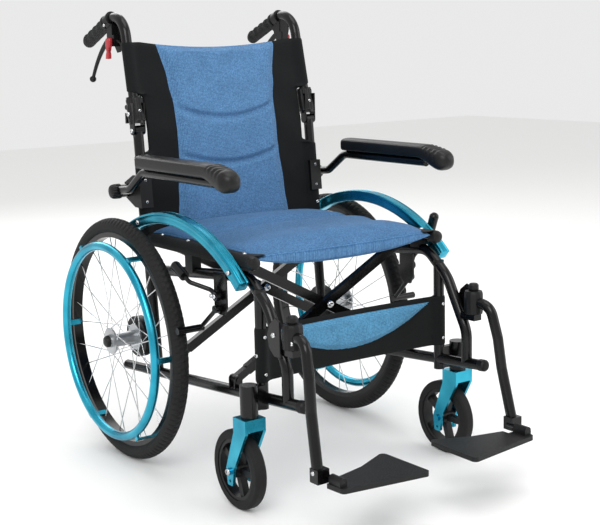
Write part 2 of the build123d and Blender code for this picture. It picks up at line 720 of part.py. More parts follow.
def cross_brace(hand):
    """One leg of the scissor: a bar in each row, welded to a seat rail.

    hand -1 pivots on the right side frame and carries the left rail; +1 is the other way round.
    The bars of the two braces lie side by side along Y, so they pass each other.
    """
    low = (hand * frame_x, brace_low_z)
    high = (-hand * frame_x, rail_height)
    centre = ((low[0] + high[0]) / 2, (low[1] + high[1]) / 2)
    length = hypot(high[0] - low[0], high[1] - low[1])
    slope = degrees(atan2(high[1] - low[1], high[0] - low[0]))
    offset = bar_thickness / 2 + part_gap
    body = y_cylinder(frame_tube_radius, -hand * rail_x, rail_front, rail_rear, rail_height)
    body -= y_cylinder(frame_tube_radius - frame_tube_wall, -hand * rail_x, rail_front + 4, rail_rear - 4,
                       rail_height)
    for row in brace_rows:
        middle = row + hand * offset
        plane = Plane(origin=(centre[0], middle + bar_thickness / 2, centre[1]), x_dir=(1, 0, 0),
                      z_dir=(0, -1, 0))
        shape = plane * Rot(0, 0, slope) * SlotCenterToCenter(length, bar_height - 4)
        wide = plane * Rot(0, 0, slope) * Rectangle(length - 60, bar_height)
        bar = extrude(shape, amount=bar_thickness) + extrude(wide, amount=bar_thickness)
        hole = pivot_radius + running_clearance
        bar -= y_cylinder(hole, low[0], middle - 20, middle + 20, low[1])
        inner = y_cylinder(frame_tube_radius - 0.5, -hand * rail_x, middle - 20, middle + 20, rail_height)
        bar -= inner
        if hand > 0:
            bar -= y_cylinder(hole, centre[0], middle - 20, middle + 20, centre[1])
        else:
            reach = row + 2 * offset + bar_thickness / 2 + 6
            bar += y_cylinder(pivot_radius, centre[0], middle - bar_thickness / 2 - 4, reach, centre[1])
        body += bar
    return body


def seat_pad():
    """Sling with its pad, lying over both rails."""
    top = rail_height + frame_tube_radius
    low = top + 0.6
    rail_in = rail_x - frame_tube_radius - 3
    edge = rail_x + 9
    outline = [(-edge, low), (-rail_in, low), (-rail_in + 46, low - 18), (rail_in - 46, low - 18),
               (rail_in, low), (edge, low), (edge, low + 10), (-edge, low + 10)]
    plane = Plane(origin=(0, fore(-424), 0), x_dir=(1, 0, 0), z_dir=(0, -1, 0))
    face = make_face(Polyline(*outline, close=True))
    return extrude(plane * face, amount=-(fore(-34) - fore(-424)))


def back_panel(z_low, z_high, half_low, half_high, y_of):
    """Upholstery panel between the two back tubes, following their lean."""
    half = upholstery_thickness / 2
    low = Plane(origin=(0, y_of(z_low), z_low)) * Rectangle(2 * half_low, upholstery_thickness)
    high = Plane(origin=(0, y_of(z_high), z_high)) * Rectangle(2 * half_high, upholstery_thickness)
    return loft([low, high])


def back_upholstery_lower():
    room = frame_x - frame_tube_radius - 4.5
    return back_panel(upholstery_bottom, hinge_height - 4, room, room, post_y)


def back_upholstery_upper():
    foot = hinge_height + 4
    low_room = frame_x - 21.0
    high_room = frame_x - cane_lean_in - frame_tube_radius - 4.5
    return back_panel(foot, upholstery_top, low_room, high_room - 4, cane_y)


def calf_strap():
    """Band behind the legs, between the two front posts."""
    room = frame_x - frame_tube_radius - 2
    return block((-room, room), (front_post_y - 4, front_post_y + 4), (248, 352))


SIDE_PIECES = {
    "rail_saddles": side_rail_saddles,
    "fender": side_fender,
    "armrest_bracket": side_armrest_bracket,
    "armrest_arm": side_armrest_arm,
    "armrest_pad": side_armrest_pad,
    "hub_brake": side_hub_brake,
    "tyre": side_tyre,
    "rim": side_rim,
    "spokes": side_spokes,
    "hub": side_hub,
    "handrim": side_handrim,
    "caster_fork": side_caster_fork,
    "caster_wheel": side_caster_wheel,
    "caster_tyre": side_caster_tyre,
    "back_cane": side_back_cane,
    "back_latch": side_back_latch,
    "push_grip": side_push_grip,
    "brake_bracket": side_brake_bracket,
    "brake_lever": side_brake_lever,
    "brake_lock_tab": side_lock_tab,
    "brake_cable": side_brake_cable,
    "footrest_hanger": side_footrest_hanger,
    "footplate": side_footplate,
    "wheel_lock_plate": side_lock_plate,
}


def as_one(shape):
    """A list of solids becomes one compound, for a node with several equal pieces."""
    if type(shape) is list:
        solids = [solid for piece in shape for solid in piece.solids()]
        return Compound(children=solids)
    return shape


def write(shape, name):
    export_step(as_one(shape), f"parts/{name}.step")


for piece, make in SIDE_PIECES.items():
    right_hand = as_one(make())
    write(right_hand, "right_" + piece)
    write(mirror(right_hand, about=Plane.YZ), "left_" + piece)

write(side_frame(-1), "right_side_frame")
write(mirror(side_frame(1), about=Plane.YZ), "left_side_frame")
write(lock_lever(lock_back), "right_wheel_lock_lever")
write(mirror(lock_lever(-lock_front), about=Plane.YZ), "left_wheel_lock_lever")
write(lock_shoe(0), "right_wheel_lock_shoe")
write(mirror(lock_shoe(shoe_swing), about=Plane.YZ), "left_wheel_lock_shoe")
write(cross_brace(-1), "cross_brace_right")
write(cross_brace(1), "cross_brace_left")
write(seat_pad(), "seat_pad")
write(back_upholstery_lower(), "back_upholstery_lower")
write(back_upholstery_upper(), "back_upholstery_upper")
write(calf_strap(), "calf_strap")
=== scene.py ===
"""Looks of the folding manual wheelchair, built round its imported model. Lengths are in metres."""
import math

import bpy
from mathutils import Matrix, Vector


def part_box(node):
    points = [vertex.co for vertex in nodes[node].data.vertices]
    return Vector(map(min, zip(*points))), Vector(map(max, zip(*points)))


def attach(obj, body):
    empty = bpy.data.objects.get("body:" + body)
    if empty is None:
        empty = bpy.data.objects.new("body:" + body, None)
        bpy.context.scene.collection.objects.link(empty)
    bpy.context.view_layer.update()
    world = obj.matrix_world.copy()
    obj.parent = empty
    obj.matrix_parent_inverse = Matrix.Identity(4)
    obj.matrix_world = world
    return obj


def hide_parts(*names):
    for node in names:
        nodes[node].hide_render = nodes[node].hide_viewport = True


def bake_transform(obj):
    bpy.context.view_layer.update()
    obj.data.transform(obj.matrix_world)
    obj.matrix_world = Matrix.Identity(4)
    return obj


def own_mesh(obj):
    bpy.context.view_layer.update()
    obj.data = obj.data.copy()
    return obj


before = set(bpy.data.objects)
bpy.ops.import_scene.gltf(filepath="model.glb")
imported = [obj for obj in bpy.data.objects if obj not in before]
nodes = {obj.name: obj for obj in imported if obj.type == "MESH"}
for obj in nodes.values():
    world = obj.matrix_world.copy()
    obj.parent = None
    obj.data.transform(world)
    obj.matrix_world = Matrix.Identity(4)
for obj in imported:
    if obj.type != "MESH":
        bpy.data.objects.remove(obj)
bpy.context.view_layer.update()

MM = 0.001
SIDES = {"right": -1, "left": 1}
axle_y = (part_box("right_tyre")[0].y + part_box("right_tyre")[1].y) / 2
axle = Vector((0, axle_y, (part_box("right_tyre")[0].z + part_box("right_tyre")[1].z) / 2))


# ---- view and light -----------------------------------------------------------------------------
def look(yaw, pitch, roll):
    """A rotation that looks yaw degrees right of +Y and pitch degrees down, then rolls."""
    y, p, r = (math.radians(angle) for angle in (yaw, pitch, roll))
    ahead = Vector((math.sin(y) * math.cos(p), math.cos(y) * math.cos(p), -math.sin(p)))
    level = Vector((math.cos(y), -math.sin(y), 0))
    up = level.cross(ahead)
    right = level * math.cos(r) + up * math.sin(r)
    top = up * math.cos(r) - level * math.sin(r)
    return Matrix((right, top, -ahead)).transposed()


camera_data = bpy.data.cameras.new("camera")
camera_data.lens = 74.3
camera_data.sensor_width = 36
camera_data.sensor_fit = "HORIZONTAL"
camera = bpy.data.objects.new("camera", camera_data)
camera.matrix_world = look(35.24, 10.27, -1.41).to_4x4()
camera.location = (-1.463, axle_y - 2.329, 0.884)
bpy.context.scene.collection.objects.link(camera)
bpy.context.scene.camera = camera


def soft_light(name, place, aim, size, power):
    """A large square lamp that points at a place."""
    data = bpy.data.lights.new(name, "AREA")
    data.size = size
    data.energy = power
    lamp = bpy.data.objects.new(name, data)
    lamp.location = place
    lamp.rotation_euler = (Vector(aim) - Vector(place)).to_track_quat("-Z", "Y").to_euler()
    bpy.context.scene.collection.objects.link(lamp)


soft_light("key", (-2.4, -2.6, 3.2), (0, 0, 0.4), 2.2, 78)
soft_light("fill", (3.0, -2.0, 1.8), (0, 0, 0.4), 2.6, 30)
soft_light("back", (0.6, 3.0, 2.6), (0, 0, 0.5), 2.4, 46)
soft_light("top", (0.2, -0.4, 3.6), (0, 0, 0.3), 2.0, 26)


def rgb(code):
    """An sRGB hex colour turned to linear, with alpha."""
    parts = [int(code[i:i + 2], 16) / 255 for i in (1, 3, 5)]
    linear = [p / 12.92 if p <= 0.04045 else ((p + 0.055) / 1.055) ** 2.4 for p in parts]
    return (*linear, 1.0)


# ---- materials ----------------------------------------------------------------------------------
def node(tree, kind, links=None, **settings):
    """Adds a node with its settings and links: links is {input: (node, output)}."""
    made = tree.nodes.new(kind)
    for key, value in settings.items():
        if key.startswith("in_"):
            slot = key[3:].replace("_", " ")
            slot = int(slot) if slot.isdigit() else slot
            made.inputs[slot].default_value = value
        else:
            setattr(made, key, value)
    for target, (source, output) in (links or {}).items():
        tree.links.new(source.outputs[output], made.inputs[target])
    return made


def blank(name, **settings):
    """A material with one Principled shader; returns it with its tree and shader."""
    material = bpy.data.materials.new(name)
    material.use_nodes = True
    tree = material.node_tree
    shader = next(n for n in tree.nodes if n.type == "BSDF_PRINCIPLED")
    for key, value in settings.items():
        shader.inputs[key.replace("_", " ")].default_value = value
    return material, tree, shader


def ramp(tree, source, output, stops):
    """A colour ramp from (place, colour) stops."""
    made = node(tree, "ShaderNodeValToRGB", {"Fac": (source, output)})
    band = made.color_ramp
    while len(band.elements) < len(stops):
        band.elements.new(0.5)
    for element, (place, colour) in zip(band.elements, stops):
        element.position = place
        element.color = colour if not isinstance(colour, str) else rgb(colour)
    return made


def grey(value):
    return (value, value, value, 1)


def worn(name, light, dark, grain_mm, rough, bump=0.15, **settings):
    """A surface with fine grain, slow colour drift and uneven gloss, all on object coordinates."""
    material, tree, shader = blank(name, **settings)
    place = node(tree, "ShaderNodeTexCoord")
    drift = node(tree, "ShaderNodeTexNoise", {"Vector": (place, "Object")}, in_Scale=9.0, in_Detail=3.0)
    colour = ramp(tree, drift, "Fac", [(0.35, dark), (0.65, light)])
    tree.links.new(colour.outputs["Color"], shader.inputs["Base Color"])
    grain = node(tree, "ShaderNodeTexNoise", {"Vector": (place, "Object")}, in_Scale=1 / (grain_mm * MM),
                 in_Detail=2.0)
    gloss = ramp(tree, grain, "Fac", [(0.3, grey(rough[0])), (0.7, grey(rough[1]))])
    tree.links.new(gloss.outputs["Color"], shader.inputs["Roughness"])
    relief = node(tree, "ShaderNodeBump", {"Height": (grain, "Fac")}, in_Strength=bump, in_Distance=0.0003)
    tree.links.new(relief.outputs["Normal"], shader.inputs["Normal"])
    return material


def anodised(name, light, dark):
    """Anodised aluminium: dyed oxide over bead-blasted metal, satin with a faint fine grain."""
    material, tree, shader = blank(name, Metallic=0.95)
    place = node(tree, "ShaderNodeTexCoord")
    drift = node(tree, "ShaderNodeTexNoise", {"Vector": (place, "Object")}, in_Scale=14.0)
    colour = ramp(tree, drift, "Fac", [(0.3, dark), (0.7, light)])
    tree.links.new(colour.outputs["Color"], shader.inputs["Base Color"])
    grain = node(tree, "ShaderNodeTexNoise", {"Vector": (place, "Object")}, in_Scale=1800.0)
    gloss = ramp(tree, grain, "Fac", [(0.3, grey(0.2)), (0.7, grey(0.32))])
    tree.links.new(gloss.outputs["Color"], shader.inputs["Roughness"])
    relief = node(tree, "ShaderNodeBump", {"Height": (grain, "Fac")}, in_Strength=0.08, in_Distance=0.0002)
    tree.links.new(relief.outputs["Normal"], shader.inputs["Normal"])
    return material


# Numbers of a Mix node's colour sockets, which share their names with its other sockets.
MIX_A, MIX_B, MIX_RESULT = 6, 7, 2


def multiplied(tree, first, second):
    """Two colours multiplied: each is given as (node, output)."""
    return node(tree, "ShaderNodeMix", {MIX_A: first, MIX_B: second}, data_type="RGBA", blend_type="MULTIPLY",
                in_0=1.0)


def woven(name, light, dark, thread_mm, rough, flat, hole=0.55, sheen=0.3, bump=0.5):
    """Cloth with a regular cell pattern, drawn a little coarse so that it shows. The pattern is laid out
    along the two axes of the cloth: flat scales down the axis that runs through its thickness."""
    material, tree, shader = blank(name, Sheen_Weight=sheen, Sheen_Roughness=0.5, Specular_IOR_Level=0.15)
    place = node(tree, "ShaderNodeTexCoord")
    laid = node(tree, "ShaderNodeMapping", {"Vector": (place, "Object")}, in_Scale=flat)
    cells = node(tree, "ShaderNodeTexVoronoi", {"Vector": (laid, "Vector")}, in_Scale=1 / (thread_mm * MM),
                 in_Randomness=0.25)
    slow = node(tree, "ShaderNodeTexNoise", {"Vector": (place, "Object")}, in_Scale=26.0, in_Detail=4.0)
    fine = node(tree, "ShaderNodeTexNoise", {"Vector": (place, "Object")}, in_Scale=260.0, in_Detail=3.0)
    knit = ramp(tree, cells, "Distance", [(0.12, light), (hole, dark)])
    tone = ramp(tree, slow, "Fac", [(0.3, grey(0.84)), (0.7, grey(1.0))])
    fleck = ramp(tree, fine, "Fac", [(0.35, grey(0.8)), (0.65, grey(1.12))])
    toned = multiplied(tree, (knit, "Color"), (tone, "Color"))
    flecked = multiplied(tree, (toned, MIX_RESULT), (fleck, "Color"))
    tree.links.new(flecked.outputs[MIX_RESULT], shader.inputs["Base Color"])
    gloss = ramp(tree, fine, "Fac", [(0.3, grey(rough - 0.08)), (0.7, grey(rough + 0.05))])
    tree.links.new(gloss.outputs["Color"], shader.inputs["Roughness"])
    height = node(tree, "ShaderNodeMath", {0: (cells, "Distance"), 1: (fine, "Fac")}, operation="SUBTRACT")
    relief = node(tree, "ShaderNodeBump", {"Height": (height, "Value")}, in_Strength=bump, in_Distance=0.0007)
    tree.links.new(relief.outputs["Normal"], shader.inputs["Normal"])
    return material


# Polyester powder coat over aluminium tube: fine orange peel, half gloss.
powder_coat = worn("black_powder_coat", "#0a0a0b", "#050506", 1.6, (0.16, 0.26), 0.1, Specular_IOR_Level=0.32)
# Glass-filled nylon, moulded: even and dull, with a faint random grey drift.
moulded_nylon = worn("moulded_black_nylon", "#0f0f10", "#080809", 0.9, (0.38, 0.52), 0.25,
                     Specular_IOR_Level=0.3)
# Polyurethane foam skin of the arm pads: soft satin, very fine leather grain.
foam_skin = worn("integral_foam_skin", "#111111", "#090909", 1.1, (0.34, 0.46), 0.35, Specular_IOR_Level=0.34)
# Moulded rubber of the push grips, greyer than the tube.
grip_rubber = worn("moulded_grip_rubber", "#232424", "#171818", 0.7, (0.55, 0.72), 0.3,
                   Specular_IOR_Level=0.3)
# Vulcanised tyre rubber, dusty and dull.
tyre_rubber = worn("vulcanised_tyre_rubber", "#161616", "#0d0d0d", 1.2, (0.6, 0.78), 0.3,
                   Specular_IOR_Level=0.3)
# Bright nickel-chrome plate on steel spokes and screws.
chrome_plate = worn("nickel_chrome_plate", "#e6e7e8", "#c4c6c8", 2.0, (0.1, 0.2), 0.03, Metallic=1.0)
# Die-cast aluminium hub, bead-blasted.
cast_alloy = worn("die_cast_alloy", "#c2c4c6", "#9da0a3", 0.8, (0.3, 0.45), 0.2, Metallic=1.0)
# Teal dyed anodised aluminium of handrims, fenders and forks.
teal_anodised = anodised("teal_anodised_aluminium", "#3fb4cf", "#1f8aa6")
# Red acetal tab, moulded glossy.
red_acetal = worn("moulded_red_acetal", "#c8373d", "#a3242c", 1.5, (0.25, 0.38), 0.1)
# Blue polyester spacer mesh of seat and back: open knit over a darker core.
upright, level = (1, 0, 1), (1, 1, 0)
blue_mesh = woven("blue_spacer_mesh", "#6d99c4", "#3d6893", 2.8, 0.82, upright, 0.6, 0.08, 0.4)
# The seat's copy is the same mesh drawn darker than the back's: painted shade, set against the top light that
# falls on the level seat.
seat_mesh_painted_shade = woven("blue_spacer_mesh_seat_painted_shade", "#5f8cb8", "#355f8a", 2.8, 0.82, level, 0.6, 0.05, 0.4)
# Lighter spacer mesh of the calf pad.
pale_mesh = woven("pale_spacer_mesh", "#6ba4c6", "#3b7ba3", 2.8, 0.82, upright, 0.6, 0.08, 0.4)
# Black nylon pack cloth, plain weave.
pack_cloth = woven("black_nylon_pack_cloth", "#17191a", "#0b0c0d", 1.6, 0.78, upright, 0.7, 0.04, 0.25)

seat_nylon = woven("black_nylon_seat_binding", "#17191a", "#0b0c0d", 1.6, 0.78, level, 0.7, 0.04, 0.25)
# Glass-filled nylon tread plate, moulded with close ribs that are drawn wider than real to show.
tread_plate = worn("ribbed_moulded_nylon", "#121213", "#0a0a0b", 1.8, (0.42, 0.6), 0.9,
                   Specular_IOR_Level=0.35)

FINISH = {
    "side_frame": powder_coat, "armrest_arm": powder_coat, "rim": powder_coat, "back_cane": powder_coat,
    "footrest_hanger": powder_coat, "wheel_lock_plate": powder_coat, "wheel_lock_lever": powder_coat,
    "wheel_lock_shoe": powder_coat, "brake_lever": powder_coat, "rail_saddles": moulded_nylon,
    "armrest_bracket": moulded_nylon, "armrest_pad": foam_skin, "hub_brake": moulded_nylon,
    "caster_wheel": moulded_nylon, "back_latch": moulded_nylon, "brake_bracket": moulded_nylon,
    "footplate": tread_plate, "push_grip": grip_rubber, "brake_cable": grip_rubber,
    "tyre": tyre_rubber, "caster_tyre": tyre_rubber, "spokes": chrome_plate, "hub": cast_alloy,
    "fender": teal_anodised, "handrim": teal_anodised, "caster_fork": teal_anodised,
    "brake_lock_tab": red_acetal,
}
CENTRE_FINISH = {"cross_brace_right": powder_coat, "cross_brace_left": powder_coat, "seat_pad": seat_mesh_painted_shade,
                 "back_upholstery_lower": blue_mesh, "back_upholstery_upper": blue_mesh,
                 "calf_strap": pack_cloth}


def finish_node(name, material):
    """Gives a carried-over piece its material."""
    piece = nodes[name]
    piece.data.materials.clear()
    piece.data.materials.append(material)


for kind, material in FINISH.items():
    for side in SIDES:
        finish_node(f"{side}_{kind}", material)
for name, material in CENTRE_FINISH.items():
    finish_node(name, material)


# ---- floor --------------------------------------------------------------------------------------
floor_paint, _, floor_shader = blank("pale_matt_floor", Roughness=0.9, Specular_IOR_Level=0.1)
floor_shader.inputs["Base Color"].default_value = rgb("#f4f4f3")
bpy.ops.object.select_all(action="DESELECT")
bpy.ops.mesh.primitive_plane_add(size=16, location=(0, 0, 0))
floor = bpy.context.object
floor.name = "floor"
floor.data.materials.append(floor_paint)
world = bpy.data.worlds.new("studio")
world.use_nodes = True
world.node_tree.nodes["Background"].inputs["Color"].default_value = rgb("#f7f7f7")
world.node_tree.nodes["Background"].inputs["Strength"].default_value = 0.88
bpy.context.scene.world = world
bpy.context.scene.view_settings.view_transform = "Standard"


# ---- helpers for modelling ----------------------------------------------------------------------
def pick_none():
    """Deselects everything, so that an operator acts only on what comes next."""
    if bpy.context.object and bpy.context.object.mode != "OBJECT":
        bpy.ops.object.mode_set(mode="OBJECT")
    bpy.ops.object.select_all(action="DESELECT")


def work_on(piece):
    pick_none()
    piece.select_set(True)
    bpy.context.view_layer.objects.active = piece


def named(name, *materials):
    """Names the active object and gives it its materials."""
    piece = bpy.context.object
    piece.name = name
    piece.data.name = name
    piece.data.materials.clear()
    for material in materials:
        piece.data.materials.append(material)
    return piece


def settle(piece, smooth=40):
    """Puts the piece's place into its mesh, turns faces outward and smooths all but sharp edges."""
    work_on(piece)
    bpy.ops.object.transform_apply(location=True, rotation=True, scale=True)
    bpy.ops.object.mode_set(mode="EDIT")
    bpy.ops.mesh.select_all(action="SELECT")
    bpy.ops.mesh.remove_doubles(threshold=0.00001)
    bpy.ops.mesh.normals_make_consistent(inside=False)
    bpy.ops.object.mode_set(mode="OBJECT")
    bpy.ops.object.shade_smooth_by_angle(angle=math.radians(smooth))
    return piece


def finish_with(piece, kind, **settings):
    """Adds one modifier with its settings and applies it."""
    work_on(piece)
    modifier = piece.modifiers.new(kind.lower(), kind)
    for key, value in settings.items():
        setattr(modifier, key, value)
    bpy.ops.object.modifier_apply(modifier=modifier.name)


def copy_mirrored(piece, name):
    """The same piece for the other side of the chair, with a mesh of its own."""
    twin = piece.copy()
    twin.data = piece.data.copy()
    twin.name = name
    twin.data.name = name
    bpy.context.scene.collection.objects.link(twin)
    twin.scale = (-1, 1, 1)
    return settle(twin)


def smooth_step(x):
    x = min(max(x, 0.0), 1.0)
    return x * x * (3 - 2 * x)


def dent(distance, width):
    """A soft groove profile: 1 on the line, 0 beyond the width."""
    return smooth_step(1 - abs(distance) / width)


# ---- back upholstery ----------------------------------------------------------------------------
# Two canes lean back: the lower posts up to the hinge, the upper canes above it, drawn in a little.
hinge_z = 0.700
post_x = 0.222
lower_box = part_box("back_upholstery_lower")
upper_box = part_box("back_upholstery_upper")
hem_drop = 0.022        # how far the cloth hangs behind the seat, below its solid
back_bottom = lower_box[0].z - hem_drop
back_top = upper_box[1].z
post_lean = 0.0851
cane_lean = 0.2
post_y_hinge = 0.243
tube_radius = 0.011
wrap_gap = 0.0018


def back_tube_y(z):
    """Y of the back tubes' centre line at a height."""
    lean = post_lean if z < hinge_z else cane_lean
    return post_y_hinge + (z - hinge_z) * lean


def back_tube_x(z):
    return post_x if z < hinge_z else post_x - 0.004 * (z - hinge_z) / 0.25


def panel_half(z):
    """Half width of the blue panel: wide at the top, waisted at the middle, wider at the seat."""
    points = [(0.48, 0.143), (0.56, 0.135), (0.643, 0.127), (0.745, 0.127), (0.80, 0.134), (0.884, 0.149)]
    for (z0, w0), (z1, w1) in zip(points, points[1:]):
        if z <= z1:
            return w0 + (w1 - w0) * smooth_step((z - z0) / (z1 - z0))
    return points[-1][1]


def cloth_half(z):
    """Half width of the cloth: round the tubes, and drawn in beside the hinge collars."""
    wrapped = back_tube_x(z) + tube_radius + wrap_gap
    notch = 0.2
    from_hinge = max(0.658 - z, z - 0.768, 0.0)
    return notch + (wrapped - notch) * smooth_step(from_hinge / 0.014)


def quilt(name, columns, rows, place, materials, material_of):
    """A grid with each point set by place(u, v), u and v from 0 to 1; material_of(u, v) picks its cloth."""
    pick_none()
    bpy.ops.mesh.primitive_grid_add(x_subdivisions=columns, y_subdivisions=rows, size=1)
    piece = named(name, *materials)
    spots = [(v.co.x + 0.5, v.co.y + 0.5) for v in piece.data.vertices]
    for face in piece.data.polygons:
        u = sum(spots[i][0] for i in face.vertices) / len(face.vertices)
        v = sum(spots[i][1] for i in face.vertices) / len(face.vertices)
        face.material_index = material_of(u, v)
    for vertex, (u, v) in zip(piece.data.vertices, spots):
        vertex.co = place(u, v)
    return settle(piece, 60)


# A section of the back runs from the middle of its front, round both tubes, to the middle of its rear.
blue_share, flat_share, wrap_share = 0.26, 0.38, 0.46
cloth_thick = 0.0045
front_pad = 0.010
back_channels = ((0.717, 0.745), (0.618, 0.644))     # height at the middle and at the panel's edge
channel_width = 0.011


def smile(x, middle, edge):
    """Height of a sewn channel that curves up to the panel's edges."""
    return middle + (edge - middle) * min(abs(x) / 0.127, 1.1) ** 2


def back_point(u, v):
    """A point of the back's cloth: u goes round the section, v up its height."""
    side = 1 if u < 0.5 else -1
    around = (u if u < 0.5 else 1 - u) * 2
    z = back_bottom + (back_top - back_bottom) * v
    tube_x = min(back_tube_x(z), cloth_half(z) - tube_radius - wrap_gap)
    wrap = cloth_half(z) - tube_x
    if cloth_half(z) < back_tube_x(z):
        tube_x = cloth_half(z) - 0.004
        wrap = 0.004
    end = min(z - back_bottom, back_top - z)
    wrap -= 0.0012 * smooth_step(1 - end / 0.004)
    blue = panel_half(z)
    hem = smooth_step(end / 0.007)
    half_thick = cloth_thick * (0.25 + 0.75 * hem)
    middle_y = back_tube_y(z)
    if around < flat_share or around > wrap_share * 2 - flat_share + 0.08:
        front = around < flat_share
        share = around if front else 1 - around
        reach = flat_share if front else 1 - (wrap_share * 2 - flat_share + 0.08)
        blue_reach = blue_share * reach / flat_share
        if share < blue_reach:
            x = blue * share / blue_reach
        else:
            x = blue + (tube_x - blue) * (share - blue_reach) / (reach - blue_reach)
        near_tube = smooth_step((x - (tube_x - 0.02)) / 0.02)
        depth = half_thick + (wrap - half_thick) * near_tube
        if front:
            inside = smooth_step((blue - x) / 0.018)
            grooves = max(dent(z - smile(x, middle, edge), channel_width) for middle, edge in back_channels)
            depth += front_pad * inside * (1 - 0.82 * grooves) * smooth_step(end / 0.02)
            depth -= 0.0022 * dent(x - blue, 0.004)
            depth += 0.0012 * math.sin(z * 61 + x * 23) * smooth_step((x - blue) / 0.02) * (1 - near_tube)
        y = middle_y - depth if front else middle_y + depth
    else:
        turn = (around - flat_share) / (wrap_share * 2 - 2 * flat_share + 0.08)
        angle = math.radians(-90 + 180 * turn)
        x = tube_x + wrap * math.cos(angle)
        y = middle_y + wrap * math.sin(angle)
    if z > back_top - 0.03:
        z -= 0.014 * (1 - min(x / 0.19, 1) ** 2) * smooth_step((z - back_top + 0.03) / 0.03)
    return (side * x, y, z)


def back_cloth(u, v):
    around = (u if u < 0.5 else 1 - u) * 2
    return 0 if around < blue_share else 1


def part_of(piece, name, keep_above, height):
    """A copy of the piece that keeps only what lies above or below a height, left open at the cut."""
    half = piece.copy()
    half.data = piece.data.copy()
    half.name = name
    half.data.name = name
    bpy.context.scene.collection.objects.link(half)
    work_on(half)
    bpy.ops.object.mode_set(mode="EDIT")
    bpy.ops.mesh.select_all(action="SELECT")
    bpy.ops.mesh.bisect(plane_co=(0, 0, height), plane_no=(0, 0, 1), use_fill=False,
                        clear_inner=keep_above, clear_outer=not keep_above)
    bpy.ops.object.mode_set(mode="OBJECT")
    return half


whole_back = quilt("whole_back", 220, 128, back_point, [blue_mesh, pack_cloth], back_cloth)
upper_back = part_of(whole_back, "back_cloth_upper", True, hinge_z)
lower_back = part_of(whole_back, "back_cloth_lower", False, hinge_z)
bpy.data.objects.remove(whole_back)
for piece, body, old in ((upper_back, "right_back_body", "back_upholstery_upper"),
                         (lower_back, "right_frame_body", "back_upholstery_lower")):
    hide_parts(old)
    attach(piece, body)
    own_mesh(piece)


# ---- seat ---------------------------------------------------------------------------------------
seat_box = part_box("seat_pad")
seat_front, seat_rear = seat_box[0].y, seat_box[1].y
rail_x = (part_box("cross_brace_right")[1].x) - tube_radius
rail_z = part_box("cross_brace_right")[1].z - tube_radius
sling_top = rail_z + tube_radius + 0.0015


seat_half = rail_x - 0.016
seat_lines = (seat_front + 0.130, seat_front + 0.258)
seat_channel_width = 0.024
seat_scallop = 0.012    # how far the sides bulge out between the channels
seat_puff = 0.026
seat_belly = 0.017
seat_rear_reach = 0.010


def seat_point(u, v):
    """A point of the padded seat: u goes round its section along Y, v across from -X to +X."""
    angle = 2 * math.pi * u
    c, t = math.cos(angle), math.sin(angle)
    half_length = (seat_rear - seat_front) / 2
    y = (seat_front + seat_rear) / 2 + half_length * math.copysign(abs(c) ** 0.34, c)
    across = abs(2 * v - 1)
    edge = (1 - across ** 9) ** 0.5
    groove = max(dent(y - line, seat_channel_width) for line in seat_lines)
    bulge = 1 - groove * (0.46 + 0.34 * smooth_step((across - 0.5) / 0.4))
    x = (2 * v - 1) * (seat_half + seat_scallop * (bulge - 0.6))
    round_y = math.copysign(abs(t) ** 0.5, t)
    if t > 0:
        z = seat_puff * (0.62 + 0.38 * (1 - across ** 2)) * bulge * round_y * edge
    else:
        z = (0.004 + seat_belly * (1 - across ** 3)) * round_y * edge
    y += seat_rear_reach * max(c, 0)
    front_fall = smooth_step((0.062 - (y - seat_front)) / 0.062)
    z -= 0.016 * front_fall * (1 - 0.55 * across ** 2)
    return (x, y, sling_top - 0.001 + z)


seat = quilt("seat_cloth", 168, 130, seat_point, [seat_mesh_painted_shade], lambda u, v: 0)
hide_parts("seat_pad")
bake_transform(seat)


# ---- calf strap ---------------------------------------------------------------------------------
strap_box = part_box("calf_strap")
strap_low, strap_high = strap_box[0].z, strap_box[1].z
strap_y = (strap_box[0].y + strap_box[1].y) / 2
strap_flat = 0.42       # share of each half of the section before it turns round the post


def strap_point(u, v):
    """A point of the calf band: u goes round the section and the front posts, v up its height."""
    side = 1 if u < 0.5 else -1
    around = (u if u < 0.5 else 1 - u) * 2
    z = strap_low + (strap_high - strap_low) * v
    wrap = tube_radius + wrap_gap - 0.001 * smooth_step(1 - min(z - strap_low, strap_high - z) / 0.004)
    hem = smooth_step(min(z - strap_low, strap_high - z) / 0.006)
    thick = 0.0024 * (0.3 + 0.7 * hem)
    if around < strap_flat or around > 1 - strap_flat:
        front = around < strap_flat
        share = (around if front else 1 - around) / strap_flat
        x = post_x * share
        near_tube = smooth_step((x - post_x + 0.022) / 0.022)
        depth = thick + (wrap - thick) * near_tube
        if front:
            belly = crescent_low(x)
            inside = smooth_step((z - belly) / 0.012) * smooth_step((crescent_high(x) - z) / 0.010)
            depth += 0.007 * inside
            depth -= 0.0008 * dent(z - belly, 0.003)
        sag = 0.010 * (1 - (x / post_x) ** 2)
        y = strap_y + sag + (-depth if front else depth)
    else:
        angle = math.radians(-90 + 180 * (around - strap_flat) / (1 - 2 * strap_flat))
        x = post_x + wrap * math.cos(angle)
        y = strap_y + wrap * math.sin(angle)
    return (side * x, y, z)


def crescent_high(x):
    return strap_high - 0.010


def crescent_low(x):
    """Lower edge of the pale pad: deepest at the middle, meeting its top edge near the posts."""
    return crescent_high(x) - 0.066 * max(0.0, 1 - (abs(x) / 0.196) ** 2)


def strap_cloth(u, v):
    around = (u if u < 0.5 else 1 - u) * 2
    if around > strap_flat:
        return 0
    x = post_x * around / strap_flat
    z = strap_low + (strap_high - strap_low) * v
    return 1 if crescent_low(x) < z < crescent_high(x) else 0


strap = quilt("calf_band", 260, 90, strap_point, [pack_cloth, pale_mesh], strap_cloth)
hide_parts("calf_strap")
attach(strap, "right_frame_body")
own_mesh(strap)


